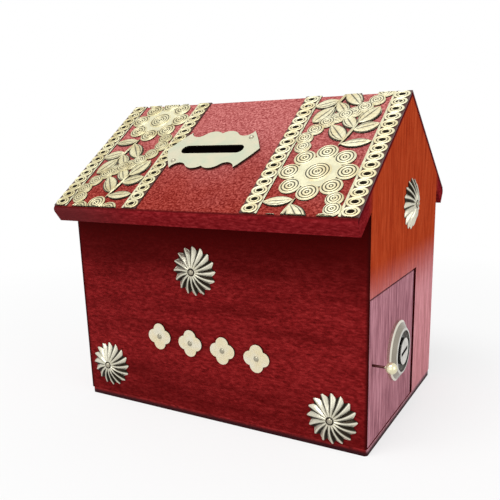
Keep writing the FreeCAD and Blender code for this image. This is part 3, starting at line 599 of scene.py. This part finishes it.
def relief_object(name, relief, place, low=None, high=None):
    """Make a mesh of a relief, cut to its ends along the ribbon, with its relief values as an attribute."""
    mesh = bpy.data.meshes.new(name)
    mesh.from_pydata(relief.points, [], relief.faces)
    layer = mesh.attributes.new("relief", "FLOAT", "POINT")
    layer.data.foreach_set("value", relief.values)
    work = bmesh.new()
    work.from_mesh(mesh)
    bmesh.ops.remove_doubles(work, verts=work.verts, dist=WELD)
    for plane, outer in ((low, -1.0), (high, 1.0)):
        if plane is not None:
            geometry = work.verts[:] + work.edges[:] + work.faces[:]
            bmesh.ops.bisect_plane(work, geom=geometry, plane_co=(0, plane, 0), plane_no=(0, outer, 0),
                                   clear_outer=True)
    for vert in work.verts:
        vert.co = Vector(place(*vert.co)) * MM
    work.to_mesh(mesh)
    work.free()
    mesh.shade_smooth()
    item = bpy.data.objects.new(name, mesh)
    bpy.context.scene.collection.objects.link(item)
    return item


def oval(across, along, wide, long, lift, value, segments):
    """A closed row of points round an oval."""
    row = []
    for step in range(segments):
        turn = 2 * math.pi * step / segments
        row.append((across + wide * math.cos(turn), along + long * math.sin(turn), lift, value))
    return row


DISC_SEGMENTS = 40
STEPS_PER_RING = 8
RING_SPAN = 0.92
RING_SHARPNESS = 3
RIM_STEEPNESS = 8.0


def ringed_disc(relief, across, along, radius, rings, crown, depth):
    """A disc stamped with concentric grooves inside a plain rim, falling to the sheet at its edge."""
    steps = rings * STEPS_PER_RING
    rows = []
    for index in range(steps + 1):
        share = index / steps
        wave = 0.5 + 0.5 * math.cos(2 * math.pi * (rings * share / RING_SPAN - 0.5))
        groove = wave ** RING_SHARPNESS if share < RING_SPAN else 0.0
        edge = min(1.0, (1.0 - share) * RIM_STEEPNESS)
        lift = crown * (1.0 - depth * groove) * edge
        rows.append(oval(across, along, radius * share, radius * share, lift, 1.0 - groove, DISC_SEGMENTS))
    relief.grid(rows, True)


LEAF_STEPS = 24
LEAF_SIDE_STEPS = 10
LEAF_FULLNESS = 0.85
LEAF_VEINS = 5
VEIN_SLANT = 1.1
RIB_START = 0.25
RIB_RISE = 4.0
EDGE_SHARE = 0.2
RIB_SHARE = 0.4
VEIN_SHARE = 0.15
VEIN_SHADE = 0.36
EDGE_SHADE = 3.2
# Painted shadow line inside one edge of each leaf
SHADE_LINE_PLACE = 0.6
SHADE_LINE_START = 0.1
SHADE_LINE_RISE = 9.0


def leaf(relief, foot, tip, width, crown):
    """A pointed leaf with a sunk midrib, faint slanting veins and a line of painted shadow inside one edge.
    """
    foot = Vector(foot)
    tip = Vector(tip)
    along = tip - foot
    side = Vector((-along.y, along.x)).normalized()
    rows = []
    for index in range(LEAF_STEPS + 1):
        share = index / LEAF_STEPS
        half = 0.5 * width * (4 * share * (1 - share)) ** LEAF_FULLNESS
        row = []
        for step in range(-LEAF_SIDE_STEPS, LEAF_SIDE_STEPS + 1):
            part = step / LEAF_SIDE_STEPS
            spot = foot + along * share + side * (half * part)
            rib = min(1.0, RIB_START + abs(part) * RIB_RISE)
            vein = 0.5 + 0.5 * math.cos(2 * math.pi * (LEAF_VEINS * share - VEIN_SLANT * abs(part)))
            dome = (1 - part * part) ** 0.5
            swell = dome * (1 - RIB_SHARE + RIB_SHARE * rib) * (1 - VEIN_SHARE + VEIN_SHARE * vein)
            lift = crown * (EDGE_SHARE + (1 - EDGE_SHARE) * swell)
            # Painted shadow line inside one edge
            line = min(1.0, SHADE_LINE_START + SHADE_LINE_RISE * abs(part - SHADE_LINE_PLACE))
            shade = 1 - VEIN_SHADE + VEIN_SHADE * vein ** 0.5
            value = min(rib, shade, EDGE_SHADE * (1 - abs(part)), line)
            row.append((spot.x, spot.y, lift, value))
        rows.append(row)
    relief.grid(rows, False)


LINK_SEGMENTS = 24
LINK_STEPS = 8
LINK_SHADE = 1.6
LINK_EDGE = 0.35
HOLE_SEGMENTS = 16
HOLE_LIFT = 0.12


def chain_link(relief, across, along, wide, long, thick, crown):
    """An oval eye of flat wire, with dark edges."""
    rows = []
    for index in range(LINK_STEPS + 1):
        turn = math.pi * index / LINK_STEPS
        out = -thick * math.cos(turn)
        lift = crown * math.sin(turn)
        value = LINK_SHADE * math.sin(turn) - LINK_EDGE
        rows.append(oval(across, along, wide + out, long + out, lift, value, LINK_SEGMENTS))
    relief.grid(rows, True)


def eye_hole(relief, across, along, wide, long):
    """The dark hole inside a link."""
    rim = oval(across, along, wide, long, HOLE_LIFT, 0.0, HOLE_SEGMENTS)
    middle = oval(across, along, 0.0, 0.0, HOLE_LIFT, 0.0, HOLE_SEGMENTS)
    relief.grid([rim, middle], True)


# Foot, tip and width of each leaf, and the roundels' places, measured from the flower's middle
SPRAY = [
    ((3.4, 16.0), (7.6, 33.0), 1.6),
    ((4.0, 17.0), (16.6, 18.8), 5.6),
    ((6.6, 26.3), (16.8, 30.5), 7.0),
    ((4.4, 19.6), (-4.1, 30.4), 7.6),
    ((6.2, 28.2), (0.2, 36.4), 6.4),
    ((7.4, 31.4), (13.7, 42.4), 8.6),
]
CHAIN = [(-12.3, 15.8), (-13.4, 21.6), (-10.8, 27.6), (-7.0, 32.6), (-3.4, 35.6)]
FLOWER_HEART = 5.9
FLOWER_HEART_RINGS = 4
FLOWER_DISCS = 8
FLOWER_RING = 12.3
FLOWER_DISC = 4.6
FLOWER_CROWN = 0.4
FLOWER_DEPTH = 0.75
ROUNDEL = 3.7
ROUNDEL_DEPTH = 0.2
DISC_RINGS = 3
LEAF_CROWN = 0.5
LOW_CROWN = 0.6
HIGH_CROWN = 0.8


def flower(relief, along):
    ringed_disc(relief, 0, along, FLOWER_HEART, FLOWER_HEART_RINGS, FLOWER_CROWN, FLOWER_DEPTH)
    for index in range(FLOWER_DISCS):
        turn = 2 * math.pi * index / FLOWER_DISCS
        ringed_disc(relief, FLOWER_RING * math.cos(turn), along + FLOWER_RING * math.sin(turn), FLOWER_DISC,
                    DISC_RINGS, FLOWER_CROWN, FLOWER_DEPTH)


def roundel(relief, across, along, crown):
    ringed_disc(relief, across, along, ROUNDEL, DISC_RINGS, crown, ROUNDEL_DEPTH)


def repeat_motifs(relief, start):
    """One repeat, from a flower to the next: a spray and chain, and the same turned half round.
    Every other roundel lies higher, so that they lap each other and the leaves cleanly."""
    end = start + BAND_REPEAT
    flower(relief, start)
    for foot, tip, width in SPRAY:
        leaf(relief, (foot[0], start + foot[1]), (tip[0], start + tip[1]), width, LEAF_CROWN)
        leaf(relief, (-foot[0], end - foot[1]), (-tip[0], end - tip[1]), width, LEAF_CROWN)
    roundel(relief, 0, start + BAND_REPEAT / 2, HIGH_CROWN)
    for index, (across, up) in enumerate(CHAIN):
        crown = HIGH_CROWN if index % 2 else LOW_CROWN
        roundel(relief, across, start + up, crown)
        roundel(relief, -across, end - up, crown)


def over_roof(across, along, lift):
    """Place a point of the flat ribbon on the front slope or, past the ridge, on the back one."""
    out = BAND_SHEET + lift
    top = RIDGE_HEIGHT + BAND_SHEET / math.cos(PITCH)
    if along <= SLOPE:
        y = -EAVE_REACH + along * math.cos(PITCH) - out * math.sin(PITCH)
        z = RIDGE_HEIGHT - (SLOPE - along) * math.sin(PITCH) + out * math.cos(PITCH)
        return (across, min(y, 0.0), min(z, top))
    down = along - SLOPE
    y = down * math.cos(PITCH) + out * math.sin(PITCH)
    z = RIDGE_HEIGHT - down * math.sin(PITCH) + out * math.cos(PITCH)
    return (across, max(y, 0.0), min(z, top))


def border_eye(relief, across, along):
    """Two links, one inside the other, round a hole."""
    chain_link(relief, across, along, wide=3.05, long=2.30, thick=0.64, crown=0.45)
    chain_link(relief, across, along, wide=1.80, long=1.40, thick=0.42, crown=0.50)
    eye_hole(relief, across, along, wide=1.5, long=1.1)


def make_band(name, side, first, finish):
    """The relief of one ribbon, from its first flower's place along it."""
    relief = Relief()
    low = BAND_MARGIN
    high = 2 * SLOPE - BAND_MARGIN
    start = first
    while start > low:
        start -= BAND_REPEAT
    while start < high + BAND_REPEAT / 2:
        repeat_motifs(relief, start)
        start += BAND_REPEAT
    links = int((high - low) / LINK_PITCH)
    for mirror in (-1, 1):
        for index in range(links):
            along = low + (index + 0.5) * (high - low) / links
            border_eye(relief, mirror * (BAND_WIDTH / 2 - EYE_INSET), along)

    def place(across, along, lift):
        return over_roof(across + side * BAND_MIDDLE, along, lift)

    item = relief_object(name, relief, place, low, high)
    item.data.materials.append(finish)
    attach(item, "box")


make_band("band_relief_left", -1, LEFT_FLOWER, olive_brass)
make_band("band_relief_right", 1, RIGHT_FLOWER, band_brass)


# Rosettes: pleated domes of pointed petals, in place of the plainer CAD ones

PETALS = 16
PETAL_STEPS = 12
ROSETTE_STEPS = 40
ROSETTE_RADIUS = 11.3
ROSETTE_HEIGHT = 3.0
ROSETTE_SHEET = 0.3
PETAL_RIDGE = 0.6
PETAL_NOTCH = 0.17
SWIRL = 0.2
PLEAT = 1.5
PLEAT_RISE = 2.5
PLEAT_LEVEL = 0.8
PLEAT_FADE = 0.55
LOWEST = 0.05
BUTTON = 0.15
HEART = 0.45
HEART_SHINE = 2.2

# Painted light and shade on each flank: the value at a petal's valley, and how much it brightens to the ridge
LIT_FLANK = (0.3, 1.2)
SHADED_FLANK = (-0.85, 1.5)


def rosette_relief():
    """Polar grid: petals swell between sunk valleys and end in points, round a dark button. Each petal has a
    broad flank lit by painted light and a steep one in painted shade."""
    relief = Relief()
    spokes = PETALS * PETAL_STEPS
    rows = []
    for index in range(ROSETTE_STEPS + 1):
        share = index / ROSETTE_STEPS
        pleat = PLEAT * min(1.0, share * PLEAT_RISE) * (1 - PLEAT_FADE * share)
        dome = (ROSETTE_HEIGHT - ROSETTE_SHEET) * (1 - share ** 2)
        row = []
        for step in range(spokes):
            phase = (step % PETAL_STEPS) / PETAL_STEPS
            # Painted light on the broad flank, painted shade on the steep one
            if phase < PETAL_RIDGE:
                petal = phase / PETAL_RIDGE
                valley, rise = LIT_FLANK
            else:
                petal = (1 - phase) / (1 - PETAL_RIDGE)
                valley, rise = SHADED_FLANK
            swirl = 2 * math.pi * step / spokes + SWIRL * share
            reach = ROSETTE_RADIUS * (1 - PETAL_NOTCH * (1 - petal) * share) * share
            lift = max(dome + pleat * (petal - PLEAT_LEVEL), LOWEST)
            shade = valley + rise * petal + HEART_SHINE * max(0.0, HEART - share)
            value = min(1.0, shade) if share > BUTTON else 0.0
            row.append((reach * math.cos(swirl), reach * math.sin(swirl), lift, value))
        rows.append(row)
    relief.grid(rows, True)
    return relief


def make_rosette(node):
    """A rosette in the middle of its CAD node, on the gable or on the front."""
    low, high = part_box(node)
    low = Vector(low) / MM
    high = Vector(high) / MM
    middle = (low + high) / 2
    on_gable = (high.x - low.x) < (high.y - low.y)

    def place(across, along, lift):
        if on_gable:
            return (GABLE_FACE + lift, middle.y + across, middle.z + along)
        return (middle.x + across, FRONT_FACE - lift, middle.z + along)

    item = relief_object(node + "_petals", rosette_relief(), place)
    item.data.materials.append(rosette_brass)
    thick = item.modifiers.new("sheet", "SOLIDIFY")
    thick.thickness = ROSETTE_SHEET * MM
    thick.offset = -1.0
    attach(item, "box")
    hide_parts(node)


for rosette_node in ("front_rosette_top", "front_rosette_left", "front_rosette_right", "gable_rosette"):
    make_rosette(rosette_node)


# Floor, light and camera, in metres

WHITE = (1.0, 1.0, 1.0, 1.0)
FLOOR_COLOR = (0.9, 0.9, 0.9, 1.0)
FLOOR_ROUGHNESS = 0.9
FLOOR_HALF = 4.0
GLOW_NEAR = 0.08
GLOW_FAR = 0.40
NEAR_GLOW = 0.70
WORLD_STRENGTH = 0.4


def seen_rays(tree):
    """One for rays from the camera, also those that metal mirrors or glass lets through."""
    path = tree.nodes.new("ShaderNodeLightPath")
    seen = path.outputs["Is Camera Ray"]
    for ray in ("Is Glossy Ray", "Is Transmission Ray"):
        either = tree.nodes.new("ShaderNodeMath")
        either.operation = "MAXIMUM"
        tree.links.new(seen, either.inputs[0])
        tree.links.new(path.outputs[ray], either.inputs[1])
        seen = either.outputs[0]
    return seen


def blend_shaders(tree, factor, first, second, output):
    """Mix two shaders by a factor into an output."""
    blend = tree.nodes.new("ShaderNodeMixShader")
    for source, socket in zip((factor, first.outputs[0], second.outputs[0]), blend.inputs):
        tree.links.new(source, socket)
    tree.links.new(blend.outputs[0], output.inputs["Surface"])


def make_floor():
    """A white floor that keeps the object's shadow near it."""
    corners = [(-FLOOR_HALF, -FLOOR_HALF, 0), (FLOOR_HALF, -FLOOR_HALF, 0),
               (FLOOR_HALF, FLOOR_HALF, 0), (-FLOOR_HALF, FLOOR_HALF, 0)]
    mesh = bpy.data.meshes.new("floor")
    mesh.from_pydata(corners, [], [(0, 1, 2, 3)])
    item = bpy.data.objects.new("floor", mesh)
    bpy.context.scene.collection.objects.link(item)
    look = Look("floor_white")
    look.shader.inputs["Base Color"].default_value = FLOOR_COLOR
    look.shader.inputs["Roughness"].default_value = FLOOR_ROUGHNESS
    glow = look.add("ShaderNodeEmission", Strength=1.0)
    distance = look.add("ShaderNodeVectorMath", operation="LENGTH")
    look.link(look.coords["Object"], distance.inputs[0])
    fade = look.add("ShaderNodeMapRange")
    fade.inputs["From Min"].default_value = GLOW_NEAR
    fade.inputs["From Max"].default_value = GLOW_FAR
    fade.inputs["To Min"].default_value = NEAR_GLOW
    look.link(distance.outputs["Value"], fade.inputs["Value"])
    share = look.calc("MULTIPLY", seen_rays(look.tree), fade.outputs["Result"])
    blend_shaders(look.tree, share, look.shader, glow, look.tree.nodes["Material Output"])
    mesh.materials.append(look.mat)


def make_world():
    """Plain white light, and a white background behind the object."""
    world = bpy.data.worlds.new("studio")
    bpy.context.scene.world = world
    world.use_nodes = True
    tree = world.node_tree
    light = tree.nodes["Background"]
    light.inputs["Color"].default_value = WHITE
    light.inputs["Strength"].default_value = WORLD_STRENGTH
    white = tree.nodes.new("ShaderNodeBackground")
    white.inputs["Color"].default_value = WHITE
    white.inputs["Strength"].default_value = 1.0
    blend_shaders(tree, seen_rays(tree), light, white, tree.nodes["World Output"])


def add_area(name, place, target, size, power):
    data = bpy.data.lights.new(name, "AREA")
    data.size = size
    data.energy = power
    item = bpy.data.objects.new(name, data)
    item.location = place
    item.rotation_euler = (Vector(target) - Vector(place)).to_track_quat("-Z", "Y").to_euler()
    bpy.context.scene.collection.objects.link(item)


def make_camera():
    """Camera fitted to the photograph's corners: place in millimetres, angles in degrees."""
    azimuth = math.radians(30.134)
    elevation = math.radians(13.514)
    roll = math.radians(-1.577)
    distance = 318.42
    target = Vector((-6.84, 0.0, 53.26))
    focal_pixels = 610.2
    frame_pixels = 500.0
    axis_below_middle = 35.0
    back = Vector((math.sin(azimuth) * math.cos(elevation), -math.cos(azimuth) * math.cos(elevation),
                   math.sin(elevation)))
    right = (-back).cross(Vector((0, 0, 1))).normalized()
    up = right.cross(-back)
    turned_right = right * math.cos(roll) + up * math.sin(roll)
    turned_up = up * math.cos(roll) - right * math.sin(roll)
    data = bpy.data.cameras.new("photo_camera")
    data.sensor_width = 36.0
    data.lens = focal_pixels / frame_pixels * data.sensor_width
    data.shift_y = axis_below_middle / frame_pixels
    data.clip_start = 0.01
    item = bpy.data.objects.new("photo_camera", data)
    turn = Matrix((turned_right, turned_up, back)).transposed().to_4x4()
    item.matrix_world = Matrix.Translation((target + back * distance) * MM) @ turn
    bpy.context.scene.collection.objects.link(item)
    bpy.context.scene.camera = item


make_floor()
make_world()
add_area("key", place=(-0.15, -0.50, 1.2), target=(0.0, 0.0, 0.06), size=0.6, power=9.5)
add_area("side", place=(0.95, -0.25, 0.35), target=(0.0, 0.0, 0.05), size=0.6, power=2.5)
add_area("front", place=(0.1, -1.1, 0.25), target=(0.0, 0.0, 0.05), size=0.8, power=2.0)
make_camera()
bpy.context.scene.view_settings.view_transform = "Standard"
